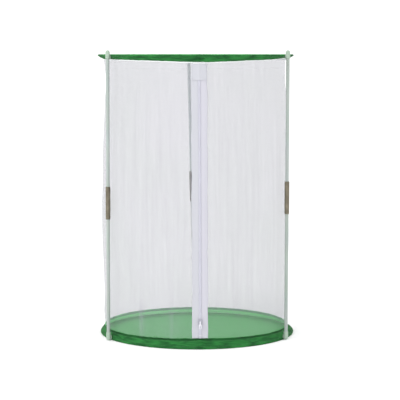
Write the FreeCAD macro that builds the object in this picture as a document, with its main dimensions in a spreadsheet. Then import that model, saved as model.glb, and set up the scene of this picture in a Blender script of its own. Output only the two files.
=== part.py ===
import FreeCAD, Part
import os
import Sketcher

# Mini pop up greenhouse: a translucent mesh drum between two spring hoops, a zip down its front,
# and three two-piece poles that stand in sewn pockets outside the wall and hold the hoops apart.
# Millimetres. +Z is up, the zip faces -Y, and the origin is the centre of the floor's underside.
# Azimuths are in degrees round +Z, counted from the zip, positive towards +X.

doc = FreeCAD.newDocument("mini_pop_up_greenhouse")
dims = doc.addObject("Spreadsheet::Sheet", "dims")

DRIVING_DIMENSIONS = (
    ("hoop_outer", 250.0),
    ("base_hoop_height", 2.9),
    ("top_hoop_height", 717.1),
    ("wire_diameter", 3.0),
    ("hoop_gap_angle", 0.3),
    ("crimp_diameter", 4.2),
    ("crimp_angle", 7.0),
    ("crimp_azimuth", 150.0),
    ("crimp_clearance", 0.04),
    ("channel_bore", 4.4),
    ("channel_diameter", 5.8),
    ("channel_sides", 8),
    ("fabric", 0.8),
    ("net", 1.0),
    ("sewing_gap", 0.1),
    ("seam_gap", 0.2),
    ("skin_setback", 0.6),
    ("floor_lap", 0.6),
    ("cutter_depth", 20.0),
    ("cutter_margin", 1.0),
    ("wall_radius", 240.5),
    ("wall_foot", 22.0),
    ("wall_head", 704.0),
    ("base_band_edge", 27.0),
    ("top_band_edge", 701.4),
    ("band_clearance", 0.5),
    ("binding_width", 3.0),
    ("tape_width", 39.0),
    ("tape_overlap", 4.5),
    ("tape_foot", 30.5),
    ("tape_head", 697.6),
    ("tape_gap", 1.8),
    ("coil_width", 2.6),
    ("coil_depth", 1.8),
    ("coil_gap", 1.2),
    ("coil_foot", 36.2),
    ("coil_head", 655.0),
    ("stop_width", 7.2),
    ("stop_length", 5.0),
    ("stop_overhang", 0.8),
    ("stop_gap", 0.05),
    ("patch_foot", 658.0),
    ("slider_foot", 60.0),
    ("slider_length", 15.0),
    ("slider_width", 9.6),
    ("slider_plate", 1.6),
    ("slider_web", 0.7),
    ("slider_clearance", 0.3),
    ("flange_clearance", 0.4),
    ("crown_length", 4.0),
    ("cheek_thickness", 1.0),
    ("cheek_gap", 3.8),
    ("bar_diameter", 1.5),
    ("bar_stand", 2.2),
    ("puller_length", 17.0),
    ("puller_width", 7.0),
    ("puller_thickness", 1.6),
    ("puller_eye_width", 3.4),
    ("puller_eye_length", 6.0),
    ("puller_bore", 1.62),
    ("neck_lap", 1.0),
    ("grip_offset", 1.0),
    ("grip_hole_width", 3.0),
    ("grip_hole_length", 5.0),
    ("pole_radius", 257.0),
    ("foot_azimuth_left", -62.0),
    ("foot_azimuth_right", 59.8),
    ("foot_azimuth_back", 178.7),
    ("head_azimuth_left", -61.0),
    ("head_azimuth_right", 60.5),
    ("head_azimuth_back", 182.4),
    ("pole_foot", 7.0),
    ("pole_head_left", 723.2),
    ("pole_head_right", 723.2),
    ("pole_head_back", 709.5),
    ("rod_diameter", 8.8),
    ("rod_end_gap", 0.6),
    ("rod_seat_gap", 0.05),
    ("cap_diameter", 9.6),
    ("cap_bore", 8.9),
    ("cap_length", 12.0),
    ("cap_end", 1.0),
    ("ferrule_diameter", 12.0),
    ("ferrule_bore", 8.9),
    ("ferrule_length", 82.0),
    ("ferrule_chamfer", 0.6),
    ("ferrule_mid_left", 349.0),
    ("ferrule_mid_right", 361.0),
    ("ferrule_mid_back", 357.0),
    ("crimp_groove_depth", 0.5),
    ("crimp_groove_width", 2.0),
    ("crimp_groove_height", 10.0),
    ("pocket_bore", 10.4),
    ("pocket_diameter", 12.2),
    ("pocket_depth", 14.0),
    ("tab_width", 12.0),
    ("tab_length", 12.0),
    ("tab_thickness", 2.0),
    ("tab_gap", 0.1),
    ("tab_foot_left", -12.0),
    ("tab_foot_right", -12.0),
    ("tab_foot_back", -3.0),
)

for row, (alias, size) in enumerate(DRIVING_DIMENSIONS, start=1):
    dims.set(f"A{row}", alias)
    dims.set(f"B{row}", str(size))
    dims.setAlias(f"B{row}", alias)
doc.recompute()

nodes = []

HOOP_RADIUS = "(dims.hoop_outer - dims.channel_diameter / 2)"


def sized(kind, name, sizes):
    """A primitive whose properties follow the sheet."""
    piece = doc.addObject(kind, name)
    for prop, formula in sizes.items():
        piece.setExpression(prop, formula)
    return piece


def cylinder(name, radius, foot, height):
    """An upright cylinder round the local Z axis."""
    return sized("Part::Cylinder", name, {"Radius": radius, "Height": height, "Placement.Base.z": foot})


def box(name, width, depth, height, inner_y, foot):
    """A box centred on X = 0, whose side nearest the axis is at Y = inner_y and which runs towards -Y."""
    return sized(
        "Part::Box",
        name,
        {
            "Length": width,
            "Width": depth,
            "Height": height,
            "Placement.Base.x": f"-({width}) / 2",
            "Placement.Base.y": f"({inner_y}) - ({depth})",
            "Placement.Base.z": foot,
        },
    )


def cut(name, base, tool):
    """The base without the tool."""
    result = doc.addObject("Part::Cut", name)
    result.Base = base
    result.Tool = tool
    return result


def common(name, base, tool):
    """What the base and the tool share."""
    result = doc.addObject("Part::Common", name)
    result.Base = base
    result.Tool = tool
    return result


def fuse(name, *pieces):
    """One solid of several."""
    result = doc.addObject("Part::MultiFuse", name)
    result.Shapes = list(pieces)
    return result


def ring(name, outer, inner, foot, height):
    """A short tube round the drum's axis."""
    shell = cylinder(f"{name}_outside", outer, foot, height)
    hollow = cylinder(f"{name}_inside", inner, foot, height)
    return cut(name, shell, hollow)


def node(name, piece):
    """Marks a finished sub-part, which is written out under this name."""
    piece.Label = name
    nodes.append(piece)
    return piece


def torus(name, section, height, sweep=None, start=None):
    """A ring of round section at a hoop's radius, or a stretch of one."""
    sizes = {"Radius1": HOOP_RADIUS, "Radius2": f"{section} / 2", "Placement.Base.z": height}
    if sweep:
        sizes["Angle3"] = sweep
        sizes["Placement.Rotation.Angle"] = start
    return sized("Part::Torus", name, sizes)


def hoop(level, height):
    """A spring-wire hoop, bent from one length, and the crimp tube that closes it."""
    gap_start = "dims.crimp_azimuth - 90 + dims.hoop_gap_angle / 2"
    wire = torus(f"{level}_hoop", "dims.wire_diameter", height, "360 - dims.hoop_gap_angle", gap_start)
    node(f"{level}_hoop", wire)
    crimp_start = "dims.crimp_azimuth - 90 - dims.crimp_angle / 2"
    tube = torus(f"{level}_crimp_tube", "dims.crimp_diameter", height, "dims.crimp_angle", crimp_start)
    bore_diameter = "(dims.wire_diameter + dims.crimp_clearance)"
    bore = torus(f"{level}_crimp_bore", bore_diameter, height, "dims.crimp_angle", crimp_start)
    node(f"{level}_hoop_crimp", cut(f"{level}_hoop_crimp", tube, bore))


def cone_skin(name, edge_radius, edge, hoop_height, upright):
    """The sloping fabric of a band, from beside its hoop to its edge on the wall."""
    near = f"({hoop_height} + {upright} * dims.channel_diameter / 4)"
    low, high = (near, edge) if upright > 0 else (edge, near)
    outside = ("dims.hoop_outer - dims.skin_setback", f"{edge_radius} + dims.fabric")
    inside = ("dims.hoop_outer - dims.skin_setback - dims.fabric", edge_radius)
    skins = []
    for side, (by_hoop, by_edge) in (("outside", outside), ("inside", inside)):
        lower, upper = (by_hoop, by_edge) if upright > 0 else (by_edge, by_hoop)
        sizes = {"Radius1": lower, "Radius2": upper, "Height": f"{high} - {low}", "Placement.Base.z": low}
        skins.append(sized("Part::Cone", f"{name}_{side}", sizes))
    return cut(name, *skins)


def folded_ring(name, across, height):
    """A ring of eight-sided section at a hoop's radius, as wide across its flats as a folded channel."""
    section = sized(
        "Part::RegularPolygon",
        f"{name}_section",
        {
            "Circumradius": f"{across} / 2 / cos(180 / dims.channel_sides)",
            "Placement.Base.x": HOOP_RADIUS,
            "Placement.Base.z": height,
        },
    )
    section.setExpression("Polygon", "dims.channel_sides")
    upright = FreeCAD.Rotation(FreeCAD.Vector(1, 0, 0), 90)
    flat_foot = FreeCAD.Rotation(FreeCAD.Vector(0, 0, 1), 180 / dims.channel_sides)
    section.Placement.Rotation = upright.multiply(flat_foot)
    solid = doc.addObject("Part::Revolution", name)
    solid.Source = section
    solid.Axis = FreeCAD.Vector(0, 0, 1)
    solid.Angle = 360
    solid.Solid = True
    return solid


def band(level, height, edge, edge_radius, upright):
    """A green band: a channel folded round the hoop and a sloping skin down or up to the wall."""
    channel = folded_ring(f"{level}_channel", "dims.channel_diameter", height)
    skin = cone_skin(f"{level}_skin", edge_radius, edge, height, upright)
    bore = folded_ring(f"{level}_channel_bore", "dims.channel_bore", height)
    node(f"{level}_band", cut(f"{level}_band", fuse(f"{level}_band_fabric", channel, skin), bore))


# Base: a fabric floor, and a band whose folded edge holds the lower hoop.
FLOOR_RADIUS = f"{HOOP_RADIUS} - dims.channel_diameter / 2 + dims.floor_lap"
WALL_FACE = "(dims.wall_radius + dims.sewing_gap)"
node("base_floor", cylinder("base_floor", FLOOR_RADIUS, "0", "dims.fabric"))
hoop("base", "dims.base_hoop_height")
band("base", "dims.base_hoop_height", "dims.base_band_edge", WALL_FACE, 1)
node(
    "base_binding",
    ring(
        "base_binding",
        f"{WALL_FACE} + dims.fabric",
        WALL_FACE,
        "dims.base_band_edge + dims.seam_gap",
        "dims.binding_width",
    ),
)

# Wall: one sheet of net rolled into a drum, whose two edges end under the zip tapes.
WALL_HEIGHT = "(dims.wall_head - dims.wall_foot)"
drum = ring("wall_drum", "dims.wall_radius", "dims.wall_radius - dims.net", "dims.wall_foot", WALL_HEIGHT)
zip_slot = box(
    "wall_zip_slot",
    "dims.tape_width - 2 * dims.tape_overlap",
    "dims.cutter_depth",
    f"{WALL_HEIGHT} + 2 * dims.cutter_margin",
    "-dims.wall_radius + dims.cutter_depth / 2",
    "dims.wall_foot - dims.cutter_margin",
)
node("wall_net", cut("wall_net", drum, zip_slot))

# Zip: two tapes sewn over the wall's edges, a coil on each, a stop at the foot, a patch over the head.
COIL_RADIUS = f"({WALL_FACE} + dims.fabric)"
COIL_FRONT = f"({COIL_RADIUS} + dims.coil_depth)"


def front_strip(name, inner, depth, near, far, foot, head, side):
    """A strip of the drum's surface beside the zip, from near to far along X, on one side."""
    around = ring(f"{name}_ring", f"{inner} + {depth}", inner, foot, f"{head} - {foot}")
    low_x = near if side > 0 else f"-({far})"
    window = sized(
        "Part::Box",
        f"{name}_window",
        {
            "Length": f"({far}) - ({near})",
            "Width": "dims.cutter_depth",
            "Height": f"{head} - {foot}",
            "Placement.Base.x": low_x,
            "Placement.Base.y": f"-({inner}) - dims.cutter_depth / 2",
            "Placement.Base.z": foot,
        },
    )
    return common(name, around, window)


for side_name, side in (("left", -1), ("right", 1)):
    tape = front_strip(
        f"zip_tape_{side_name}",
        WALL_FACE,
        "dims.fabric",
        "dims.tape_gap / 2",
        "dims.tape_width / 2",
        "dims.tape_foot",
        "dims.tape_head",
        side,
    )
    node(f"zip_tape_{side_name}", tape)
    coil = front_strip(
        f"zip_coil_{side_name}",
        COIL_RADIUS,
        "dims.coil_depth",
        "dims.coil_gap / 2",
        "dims.coil_gap / 2 + dims.coil_width",
        "dims.coil_foot",
        "dims.coil_head",
        side,
    )
    node(f"zip_coil_{side_name}", coil)

patch = front_strip(
    "zip_top_patch",
    f"({COIL_RADIUS} + dims.sewing_gap)",
    "dims.fabric",
    "-dims.tape_width / 2",
    "dims.tape_width / 2",
    "dims.patch_foot",
    "dims.tape_head",
    1,
)
node("zip_top_patch", patch)
stop = box(
    "zip_bottom_stop",
    "dims.stop_width",
    "dims.coil_depth + dims.stop_overhang",
    "dims.stop_length",
    f"-{COIL_RADIUS} - dims.stop_gap",
    "dims.coil_foot - dims.stop_length - dims.sewing_gap",
)
node("zip_bottom_stop", stop)

# Slider: a front and a back plate joined by a web between the coils, flanges that wrap the coils,
# and a crown of two cheeks with a bar for the puller.
PLATE_BACK = f"(-{COIL_FRONT} - dims.slider_clearance)"
PLATE_FRONT = f"({PLATE_BACK} - dims.slider_plate)"
BACK_PLATE_FRONT = f"(-{WALL_FACE} + dims.slider_clearance)"
BAR_Y = f"({PLATE_FRONT} - dims.bar_stand)"
CROWN_FOOT = "(dims.slider_foot + dims.slider_length / 2 - dims.crown_length / 2)"
BAR_HEIGHT = "(dims.slider_foot + dims.slider_length / 2)"

front_plate = box(
    "slider_front_plate",
    "dims.slider_width",
    "dims.slider_plate",
    "dims.slider_length",
    PLATE_BACK,
    "dims.slider_foot",
)
back_plate = box(
    "slider_back_plate",
    "dims.slider_width",
    "dims.slider_plate",
    "dims.slider_length",
    f"{BACK_PLATE_FRONT} + dims.slider_plate",
    "dims.slider_foot",
)
web = box(
    "slider_web",
    "dims.slider_web",
    f"{BACK_PLATE_FRONT} - {PLATE_BACK}",
    "dims.slider_length",
    BACK_PLATE_FRONT,
    "dims.slider_foot",
)
FLANGE = "(dims.slider_width / 2 - dims.coil_gap / 2 - dims.coil_width - dims.flange_clearance)"
slider_pieces = [front_plate, back_plate, web]
flange_starts = (("left", "-dims.slider_width / 2"), ("right", f"dims.slider_width / 2 - {FLANGE}"))
for side_name, start in flange_starts:
    flange = box(
        f"slider_flange_{side_name}",
        FLANGE,
        "dims.coil_depth",
        "dims.slider_length",
        f"-{COIL_RADIUS} - dims.slider_clearance",
        "dims.slider_foot",
    )
    flange.setExpression("Placement.Base.x", start)
    cheek = box(
        f"slider_cheek_{side_name}",
        "dims.cheek_thickness",
        "dims.bar_stand + dims.bar_diameter",
        "dims.crown_length",
        PLATE_FRONT,
        CROWN_FOOT,
    )
    offset = "dims.cheek_gap / 2"
    start = offset if side_name == "right" else f"-{offset} - dims.cheek_thickness"
    cheek.setExpression("Placement.Base.x", start)
    slider_pieces += [flange, cheek]
bar = sized(
    "Part::Cylinder",
    "slider_bar",
    {
        "Radius": "dims.bar_diameter / 2",
        "Height": "dims.cheek_gap + dims.cheek_thickness",
        "Placement.Base.x": "-(dims.cheek_gap + dims.cheek_thickness) / 2",
        "Placement.Base.y": BAR_Y,
        "Placement.Base.z": BAR_HEIGHT,
    },
)
bar.Placement.Rotation = FreeCAD.Rotation(FreeCAD.Vector(0, 1, 0), 90)
node("zip_slider", fuse("zip_slider", *slider_pieces, bar))


def origin_plane(body, role):
    """One of a body's own origin planes."""
    return next(plane for plane in body.Origin.OriginFeatures if plane.Role == role)


def sketch_on(body, role, name):
    """An empty sketch on one of the body's origin planes."""
    sketch = body.newObject("Sketcher::SketchObject", name)
    sketch.AttachmentSupport = (origin_plane(body, role), [""])
    sketch.MapMode = "FlatFace"
    return sketch


def circle(sketch, name, diameter):
    """A circle round the sketch's origin."""
    index = sketch.addGeometry(Part.Circle(FreeCAD.Vector(0, 0, 0), FreeCAD.Vector(0, 0, 1), 5), False)
    sketch.addConstraint(Sketcher.Constraint("Coincident", index, 3, -1, 1))
    constraint = sketch.addConstraint(Sketcher.Constraint("Diameter", index, 10))
    sketch.renameConstraint(constraint, name)
    sketch.setExpression(f"Constraints.{name}", diameter)


def rectangle(sketch, name, width, height):
    """A rectangle centred on the sketch's origin."""
    corners = [FreeCAD.Vector(x, y, 0) for x, y in ((-5, -5), (5, -5), (5, 5), (-5, 5))]
    first = sketch.GeometryCount
    for start, end in zip(corners, corners[1:] + corners[:1]):
        sketch.addGeometry(Part.LineSegment(start, end), False)
    for k in range(4):
        sketch.addConstraint(Sketcher.Constraint("Coincident", first + k, 2, first + (k + 1) % 4, 1))
    sketch.addConstraint(Sketcher.Constraint("Horizontal", first))
    sketch.addConstraint(Sketcher.Constraint("Horizontal", first + 2))
    sketch.addConstraint(Sketcher.Constraint("Vertical", first + 1))
    sketch.addConstraint(Sketcher.Constraint("Vertical", first + 3))
    sketch.addConstraint(Sketcher.Constraint("Symmetric", first, 1, first + 2, 1, -1, 1))
    for axis, edge, size in (("DistanceX", first, width), ("DistanceY", first + 1, height)):
        constraint = sketch.addConstraint(Sketcher.Constraint(axis, edge, 1, edge, 2, 10))
        sketch.renameConstraint(constraint, f"{name}_{axis}")
        sketch.setExpression(f"Constraints.{name}_{axis}", size)


# Puller: a moulded tab that hangs from the slider's bar by a narrow eye, with a grip hole.
puller = doc.addObject("PartDesign::Body", "zip_puller")
plate_sketch = sketch_on(puller, "XZ_Plane", "puller_plate_sketch")
rectangle(plate_sketch, "plate", "dims.puller_width", "dims.puller_length - dims.puller_eye_length")
PLATE_MIDDLE = "(dims.puller_length + dims.puller_eye_length) / 2"
plate_sketch.setExpression("AttachmentOffset.Base.y", f"-{PLATE_MIDDLE}")
plate = puller.newObject("PartDesign::Pad", "puller_plate")
plate.Profile = plate_sketch
plate.setExpression("Length", "dims.puller_thickness")
plate.SideType = "Symmetric"
neck_sketch = sketch_on(puller, "XZ_Plane", "puller_neck_sketch")
NECK_LENGTH = "(dims.puller_eye_length + dims.neck_lap)"
rectangle(neck_sketch, "neck", "dims.puller_eye_width", NECK_LENGTH)
neck_sketch.setExpression("AttachmentOffset.Base.y", f"-{NECK_LENGTH} / 2")
neck = puller.newObject("PartDesign::Pad", "puller_neck")
neck.Profile = neck_sketch
neck.setExpression("Length", "dims.puller_thickness")
neck.SideType = "Symmetric"
eye_sketch = sketch_on(puller, "YZ_Plane", "puller_eye_sketch")
circle(eye_sketch, "eye", "2 * (dims.bar_stand - dims.slider_clearance)")
eye = puller.newObject("PartDesign::Pad", "puller_eye")
eye.Profile = eye_sketch
eye.setExpression("Length", "dims.puller_eye_width")
eye.SideType = "Symmetric"
bore_sketch = sketch_on(puller, "YZ_Plane", "puller_bore_sketch")
circle(bore_sketch, "bore", "dims.puller_bore")
bore = puller.newObject("PartDesign::Pocket", "puller_bar_bore")
bore.Profile = bore_sketch
bore.setExpression("Length", "2 * dims.puller_eye_width")
bore.SideType = "Symmetric"
grip_sketch = sketch_on(puller, "XZ_Plane", "puller_grip_sketch")
rectangle(grip_sketch, "grip", "dims.grip_hole_width", "dims.grip_hole_length")
grip_sketch.setExpression("AttachmentOffset.Base.y", f"-{PLATE_MIDDLE} - dims.grip_offset")
grip = puller.newObject("PartDesign::Pocket", "puller_grip_hole")
grip.Profile = grip_sketch
grip.setExpression("Length", "4 * dims.puller_thickness")
grip.SideType = "Symmetric"
puller.setExpression("Placement.Base.y", BAR_Y)
puller.setExpression("Placement.Base.z", BAR_HEIGHT)
node("zip_puller", puller)

# Top: a roof panel of net inside the upper hoop, and a band that hangs down over the wall's head.
PANEL_RADIUS = f"{HOOP_RADIUS} - dims.channel_diameter / 2 - dims.sewing_gap"
node("top_panel", cylinder("top_panel", PANEL_RADIUS, "dims.top_hoop_height - dims.net / 2", "dims.net"))
hoop("top", "dims.top_hoop_height")
band("top", "dims.top_hoop_height", "dims.top_band_edge", "(dims.wall_radius + dims.band_clearance)", -1)
node(
    "top_binding",
    ring(
        "top_binding",
        "dims.wall_radius + dims.band_clearance + dims.fabric",
        "dims.wall_radius + dims.band_clearance",
        "dims.top_band_edge - dims.binding_width - dims.seam_gap",
        "dims.binding_width",
    ),
)


def stand(piece, azimuth, height):
    """Puts a piece upright at a pole's end, turned so that its own -Y points away from the drum."""
    piece.setExpression("Placement.Base.x", f"dims.pole_radius * sin({azimuth})")
    piece.setExpression("Placement.Base.y", f"-dims.pole_radius * cos({azimuth})")
    piece.setExpression("Placement.Base.z", height)
    piece.setExpression("Placement.Rotation.Angle", azimuth)


def stand_on_pole(piece, place, reach):
    """Puts a piece on a pole's axis, at a reach from the centre of its foot's ball and with its lean."""
    foot, head = f"dims.foot_azimuth_{place}", f"dims.head_azimuth_{place}"
    rise = f"(dims.pole_head_{place} - dims.pole_foot)"
    chord = f"(2 * dims.pole_radius * sin(({head} - {foot}) / 2))"
    lean = f"atan({chord} / {rise})"
    along = f"(({foot} + {head}) / 2)"
    shift = f"({reach}) * sin({lean})"
    position = ";".join(
        (
            f"dims.pole_radius * sin({foot}) + {shift} * cos({along})",
            f"-dims.pole_radius * cos({foot}) + {shift} * sin({along})",
            f"dims.pole_foot + ({reach}) * cos({lean})",
        )
    )
    piece.setExpression("Placement", f"placement(vector({position}); rotation({along}; {lean}; 0))")


def cup(name, diameter, depth, opens):
    """A round-ended plug or hollow: a ball at the local origin and a stem that goes up or down from it."""
    ball = sized("Part::Sphere", f"{name}_ball", {"Radius": f"{diameter} / 2"})
    stem = cylinder(f"{name}_stem", f"{diameter} / 2", "0" if opens > 0 else f"-({depth})", depth)
    return fuse(name, ball, stem)


def pocket(name, azimuth, height, opens, tab_foot):
    """A sewn pocket of webbing: a cup for the pole's end and a tab stitched to the hoop's channel."""
    shell = cup(f"{name}_shell", "dims.pocket_diameter", "dims.pocket_depth", opens)
    tab_inner = "dims.pole_radius - dims.hoop_outer - dims.tab_gap"
    tab = box(f"{name}_tab", "dims.tab_width", "dims.tab_thickness", "dims.tab_length", tab_inner, tab_foot)
    hollow = cup(f"{name}_hollow", "dims.pocket_bore", "dims.pocket_depth + dims.cutter_margin", opens)
    stand(node(name, cut(name, fuse(f"{name}_webbing", shell, tab), hollow)), azimuth, height)


def cap(name, place, reach, opens):
    """A moulded cap with a round end, pushed over the end of a rod."""
    outside = cup(f"{name}_outside", "dims.cap_diameter", "dims.cap_length", opens)
    depth = "dims.cap_length - dims.cap_end"
    foot = "dims.cap_end" if opens > 0 else "-dims.cap_length"
    socket = cylinder(f"{name}_socket", "dims.cap_bore / 2", foot, depth)
    stand_on_pole(node(name, cut(name, outside, socket)), place, reach)


def ferrule(name, place, reach):
    """The steel tube that joins a pole's two rods, chamfered, with a rolled groove near its foot."""
    body = doc.addObject("PartDesign::Body", name)
    section = sketch_on(body, "XY_Plane", f"{name}_section")
    circle(section, "outside", "dims.ferrule_diameter")
    circle(section, "bore", "dims.ferrule_bore")
    tube = body.newObject("PartDesign::Pad", f"{name}_tube")
    tube.Profile = section
    tube.setExpression("Length", "dims.ferrule_length")
    tube.SideType = "Symmetric"
    rolled = sketch_on(body, "XY_Plane", f"{name}_groove_section")
    circle(rolled, "wide", "dims.ferrule_diameter + 2 * dims.cutter_margin")
    circle(rolled, "neck", "dims.ferrule_diameter - 2 * dims.crimp_groove_depth")
    rolled.setExpression("AttachmentOffset.Base.z", "-dims.ferrule_length / 2 + dims.crimp_groove_height")
    groove = body.newObject("PartDesign::Pocket", f"{name}_groove")
    groove.Profile = rolled
    groove.setExpression("Length", "dims.crimp_groove_width")
    groove.SideType = "Symmetric"
    doc.recompute()
    rims = [
        f"Edge{k}"
        for k, edge in enumerate(groove.Shape.Edges, start=1)
        if edge.isClosed()
        and abs(edge.Curve.Radius - dims.ferrule_diameter / 2) < 0.01
        and abs(abs(edge.CenterOfMass.z) - dims.ferrule_length / 2) < 0.01
    ]
    chamfer = body.newObject("PartDesign::Chamfer", f"{name}_chamfer")
    chamfer.Base = (groove, rims)
    chamfer.setExpression("Size", "dims.ferrule_chamfer")
    stand_on_pole(node(name, body), place, reach)


# Poles: each is two glass-fibre rods in a steel ferrule, with a cap at each end. The ferrule is
# fast on the lower rod, and the upper rod pulls out of it. Along a pole, places are reaches from
# the centre of its foot's ball. The back pole leans to the left and its head is set lower.
for place in ("left", "right", "back"):
    foot_azimuth, head_azimuth = f"dims.foot_azimuth_{place}", f"dims.head_azimuth_{place}"
    head_height = f"dims.pole_head_{place}"
    pocket(f"base_pocket_{place}", foot_azimuth, "dims.pole_foot", 1, "-dims.tab_length / 2")
    pocket(f"top_pocket_{place}", head_azimuth, head_height, -1, f"dims.tab_foot_{place}")
    chord = f"(2 * dims.pole_radius * sin(({head_azimuth} - {foot_azimuth}) / 2))"
    length = f"sqrt(pow({head_height} - dims.pole_foot; 2) + pow({chord}; 2))"
    middle = f"(dims.ferrule_mid_{place} - dims.pole_foot)"
    cap(f"pole_foot_cap_{place}", place, "0", 1)
    cap(f"pole_head_cap_{place}", place, length, -1)
    ferrule(f"pole_ferrule_{place}", place, middle)
    lower_foot = "dims.cap_end + dims.rod_seat_gap"
    lower_head = f"{middle} - dims.rod_end_gap / 2"
    upper_foot = f"{middle} + dims.rod_end_gap / 2"
    upper_head = f"{length} - dims.cap_end - dims.rod_seat_gap"
    for part, low, high in (("lower", lower_foot, lower_head), ("upper", upper_foot, upper_head)):
        rod = sized(
            "Part::Cylinder",
            f"pole_{part}_rod_{place}",
            {"Radius": "dims.rod_diameter / 2", "Height": f"{high} - ({low})"},
        )
        stand_on_pole(node(f"pole_{part}_rod_{place}", rod), place, low)

doc.recompute()

for piece in doc.Objects:
    if "Invalid" in piece.State or "Error" in piece.State:
        raise RuntimeError(f"{piece.Label} failed: {piece.State}")

os.makedirs("parts", exist_ok=True)
for piece in nodes:
    shape = piece.Shape
    if shape.isNull() or not shape.isValid() or len(shape.Solids) != 1:
        raise RuntimeError(f"{piece.Label} is not one valid solid")
    shape.exportStep(f"parts/{piece.Label}.step")
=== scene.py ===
import math

import bpy
import numpy as np
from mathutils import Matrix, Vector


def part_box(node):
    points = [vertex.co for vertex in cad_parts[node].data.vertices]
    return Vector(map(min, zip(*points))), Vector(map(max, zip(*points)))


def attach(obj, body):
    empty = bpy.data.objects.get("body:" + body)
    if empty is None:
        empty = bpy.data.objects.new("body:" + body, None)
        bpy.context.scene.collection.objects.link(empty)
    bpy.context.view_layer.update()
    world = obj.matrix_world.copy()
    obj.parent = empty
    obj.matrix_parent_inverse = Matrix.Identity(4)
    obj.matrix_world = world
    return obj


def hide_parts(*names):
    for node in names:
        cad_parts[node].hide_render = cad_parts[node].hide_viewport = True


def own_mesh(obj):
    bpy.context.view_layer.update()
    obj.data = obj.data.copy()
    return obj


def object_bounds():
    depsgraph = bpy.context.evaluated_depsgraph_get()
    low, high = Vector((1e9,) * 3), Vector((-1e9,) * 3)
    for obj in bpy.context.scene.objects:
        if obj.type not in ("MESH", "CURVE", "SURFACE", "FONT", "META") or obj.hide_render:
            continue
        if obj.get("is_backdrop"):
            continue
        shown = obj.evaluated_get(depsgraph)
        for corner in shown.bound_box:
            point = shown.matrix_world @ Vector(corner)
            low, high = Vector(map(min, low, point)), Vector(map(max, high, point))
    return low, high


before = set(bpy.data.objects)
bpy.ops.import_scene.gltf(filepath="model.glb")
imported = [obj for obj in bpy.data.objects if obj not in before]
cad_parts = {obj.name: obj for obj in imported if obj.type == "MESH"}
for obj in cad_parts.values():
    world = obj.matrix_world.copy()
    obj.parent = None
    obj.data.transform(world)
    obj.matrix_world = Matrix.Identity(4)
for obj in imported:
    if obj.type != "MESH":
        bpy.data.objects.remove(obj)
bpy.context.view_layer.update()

# Floor: a disc of woven green polyester, sewn by its edge into the foot of the base band.
# It lies on the ground, with faint ripples where the seam has drawn it in, and its edge turns up there.


def linear(colour):
    """An sRGB hex colour as linear red, green, blue and full alpha."""
    parts = [int(colour[k : k + 2], 16) / 255 for k in (1, 3, 5)]
    return (*[c / 12.92 if c <= 0.04045 else ((c + 0.055) / 1.055) ** 2.4 for c in parts], 1.0)


def add(tree, kind, settings=(), links=()):
    """A shader node with its properties and inputs set, fed by the given sockets."""
    made = tree.nodes.new(f"ShaderNode{kind}")
    for key, value in dict(settings).items():
        if isinstance(key, int) or key[0].isupper():
            made.inputs[key].default_value = value
        else:
            setattr(made, key, value)
    for key, socket in dict(links).items():
        tree.links.new(socket, made.inputs[key])
    return made


def finish_named(name, **surface):
    """A material whose one shader has the given inputs, such as Roughness; underscores are spaces."""
    made = bpy.data.materials.new(name)
    made.use_nodes = True
    shader = made.node_tree.nodes["Principled BSDF"]
    for key, value in surface.items():
        shader.inputs[key.replace("_", " ")].default_value = value
    return made, made.node_tree, shader


def ramp(tree, value, shade, colour, low=0.0, high=1.0):
    """A colour that goes from the shade at the low value to the colour at the high one."""
    made = add(tree, "ValToRGB", (), {0: value})
    start, end = made.color_ramp.elements
    start.position, start.color = low, shade
    end.position, end.color = high, colour
    return made.outputs[0]


def darker(colour, share):
    """A colour with that share of an sRGB hex colour's light."""
    return (*[share * c for c in linear(colour)[:3]], 1.0)


def streaks(tree, place, scale, slant=0.0, **settings):
    """Noise from 0 to 1 drawn out into streaks, with about that many to the metre each way."""
    stretch = add(tree, "Mapping", {"Scale": scale, "Rotation": (0, 0, slant)}, {"Vector": place})
    return add(tree, "TexNoise", {"Scale": 1.0, **settings}, {"Vector": stretch.outputs[0]}).outputs["Fac"]


def relief(tree, shader, height, strength, depth):
    """Raises and sinks the surface by a height from 0 to 1."""
    made = add(tree, "Bump", {"Strength": strength, "Distance": depth}, {"Height": height})
    tree.links.new(made.outputs[0], shader.inputs["Normal"])


def uneven_gloss(tree, shader, value, low, high):
    """Roughness that goes from low to high with a value from 0 to 1."""
    made = add(tree, "MapRange", {"To Min": low, "To Max": high}, {"Value": value})
    tree.links.new(made.outputs[0], shader.inputs["Roughness"])


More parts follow.
